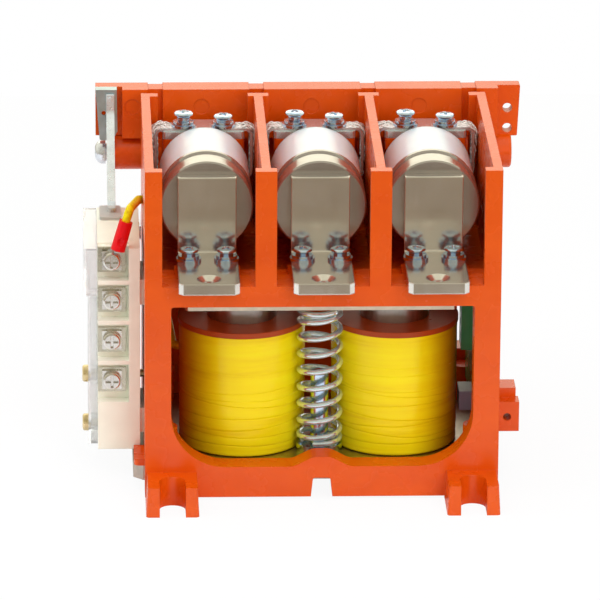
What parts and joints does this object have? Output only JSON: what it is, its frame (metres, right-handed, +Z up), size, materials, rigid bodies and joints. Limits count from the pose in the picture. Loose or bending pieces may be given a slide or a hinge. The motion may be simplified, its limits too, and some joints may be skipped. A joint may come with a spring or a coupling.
{
  "type": "high voltage vacuum contactor",
  "caption": "Open-frame vacuum contactor: ceramic vacuum tubes between moulded barriers, a swing arm behind them, magnet coils in the window below and an auxiliary switch on the side.",
  "frame": {"origin": "middle pole's centre plane, front face of the moulded frame, mounting plane under the feet", "axes": "+X to the right seen from the terminals, +Y from the front terminals to the swing arm, +Z up"},
  "size_m": [0.2399, 0.207, 0.182],
  "materials": {
    "frame_plastic": "glossy orange glass-filled polyester moulding",
    "nickel_bar": "bright nickel plate over copper, warm tone",
    "tinned_bar": "satin tin plate over copper",
    "zinc_steel": "bright zinc plated steel",
    "tube_metal": "bright nickel iron alloy",
    "tube_ceramic": "white glazed alumina",
    "copper": "clean machined copper",
    "spring_wire": "bright spring steel wire",
    "braid_metal": "flat tinned copper braid",
    "plate_steel": "zinc plated steel plate, satin",
    "core_steel": "zinc plated soft iron",
    "bobbin_plastic": "dark red-brown moulding",
    "coil_tape": "wrinkled yellow polyester tape",
    "bracket_zinc": "blue-white zinc plated sheet",
    "strip_steel": "bright folded steel strip",
    "cream_plastic": "cream nylon",
    "clear_cover": "clear polycarbonate, slightly milky",
    "milky_plastic": "milky translucent nylon",
    "yellow_zinc": "yellow passivated zinc",
    "brass_strip": "rolled brass",
    "black_plastic": "black nylon",
    "lead_yellow": "yellow varnished fibre sleeve",
    "crimp_red": "red vinyl crimp insulation",
    "board_green": "green lacquered circuit board",
    "block_green": "green terminal block",
    "relay_grey": "lilac-grey relay case"
  },
  "bodies": {
    "frame": {"aux_body": "cream_plastic", "aux_cover": "clear_cover", "aux_guide": "milky_plastic", "aux_mount_screws": "yellow_zinc", "aux_screws": "zinc_steel", "aux_spring": "spring_wire", "aux_terminals": "brass_strip", "board_relay": "relay_grey", "board_terminal_block": "block_green", "braids_1": "braid_metal", "braids_2": "braid_metal", "braids_3": "braid_metal", "coil_board": "board_green", "coil_bobbins": "bobbin_plastic", "coil_winding_left": "coil_tape", "coil_winding_right": "coil_tape", "core_bolts": "zinc_steel", "crimp_sleeve": "crimp_red", "fixed_contacts": "copper", "flat_washers": "zinc_steel", "frame_screws": "zinc_steel", "front_terminal_1": "nickel_bar", "front_terminal_2": "nickel_bar", "front_terminal_3": "nickel_bar", "lead_lug": "tinned_bar", "lead_sleeve": "lead_yellow", "magnet_cores": "core_steel", "main_frame": "frame_plastic", "pivot_shaft": "zinc_steel", "rear_terminal_1": "tinned_bar", "rear_terminal_2": "tinned_bar", "rear_terminal_3": "tinned_bar", "return_spring": "spring_wire", "shaft_clips": "spring_wire", "spring_guide": "zinc_steel", "spring_washers": "zinc_steel", "terminal_screws": "zinc_steel", "tube_bellows": "tube_metal", "tube_ceramic_1": "tube_ceramic", "tube_ceramic_2": "tube_ceramic", "tube_ceramic_3": "tube_ceramic", "tube_end_caps": "tube_metal", "yoke_plate": "plate_steel"},
    "arm": {"swing_arm": "frame_plastic", "armature_plate": "core_steel", "armature_screws": "zinc_steel", "lever_bracket": "bracket_zinc", "bracket_screw": "zinc_steel", "drive_strip": "strip_steel"},
    "plunger": {"aux_plunger": "black_plastic", "aux_bridges": "brass_strip"},
    "stem_1": {"moving_stem_1": "copper", "stem_hardware_1": "zinc_steel", "contact_spring_1": "spring_wire"},
    "stem_2": {"moving_stem_2": "copper", "stem_hardware_2": "zinc_steel", "contact_spring_2": "spring_wire"},
    "stem_3": {"moving_stem_3": "copper", "stem_hardware_3": "zinc_steel", "contact_spring_3": "spring_wire"}
  },
  "joints": [
    {"name": "arm_pivot", "type": "hinge", "parent": "frame", "child": "arm", "pos_m": [0, 0.15, 0.101], "axis": [1, 0, 0], "range_deg": [0, 2.4], "stiffness_Nm_per_rad": 8, "springref_deg": -14.32, "deforming": ["return_spring"]},
    {"name": "stem_1_slide", "type": "slide", "parent": "frame", "child": "stem_1", "axis": [0, -1, 0], "range_m": [0, 0.0021]},
    {"name": "stem_2_slide", "type": "slide", "parent": "frame", "child": "stem_2", "axis": [0, -1, 0], "range_m": [0, 0.0021]},
    {"name": "stem_3_slide", "type": "slide", "parent": "frame", "child": "stem_3", "axis": [0, -1, 0], "range_m": [0, 0.0021]},
    {"name": "plunger_slide", "type": "slide", "parent": "frame", "child": "plunger", "axis": [0, 0, -1], "range_m": [0, 0.0023], "deforming": ["aux_spring"]}
  ],
  "couplings": [
    {"joint": "stem_1_slide", "follows": "arm_pivot", "m_per_rad": 0.0476},
    {"joint": "stem_2_slide", "follows": "arm_pivot", "m_per_rad": 0.0476},
    {"joint": "stem_3_slide", "follows": "arm_pivot", "m_per_rad": 0.0476},
    {"joint": "plunger_slide", "follows": "arm_pivot", "m_per_rad": 0.052}
  ]
}
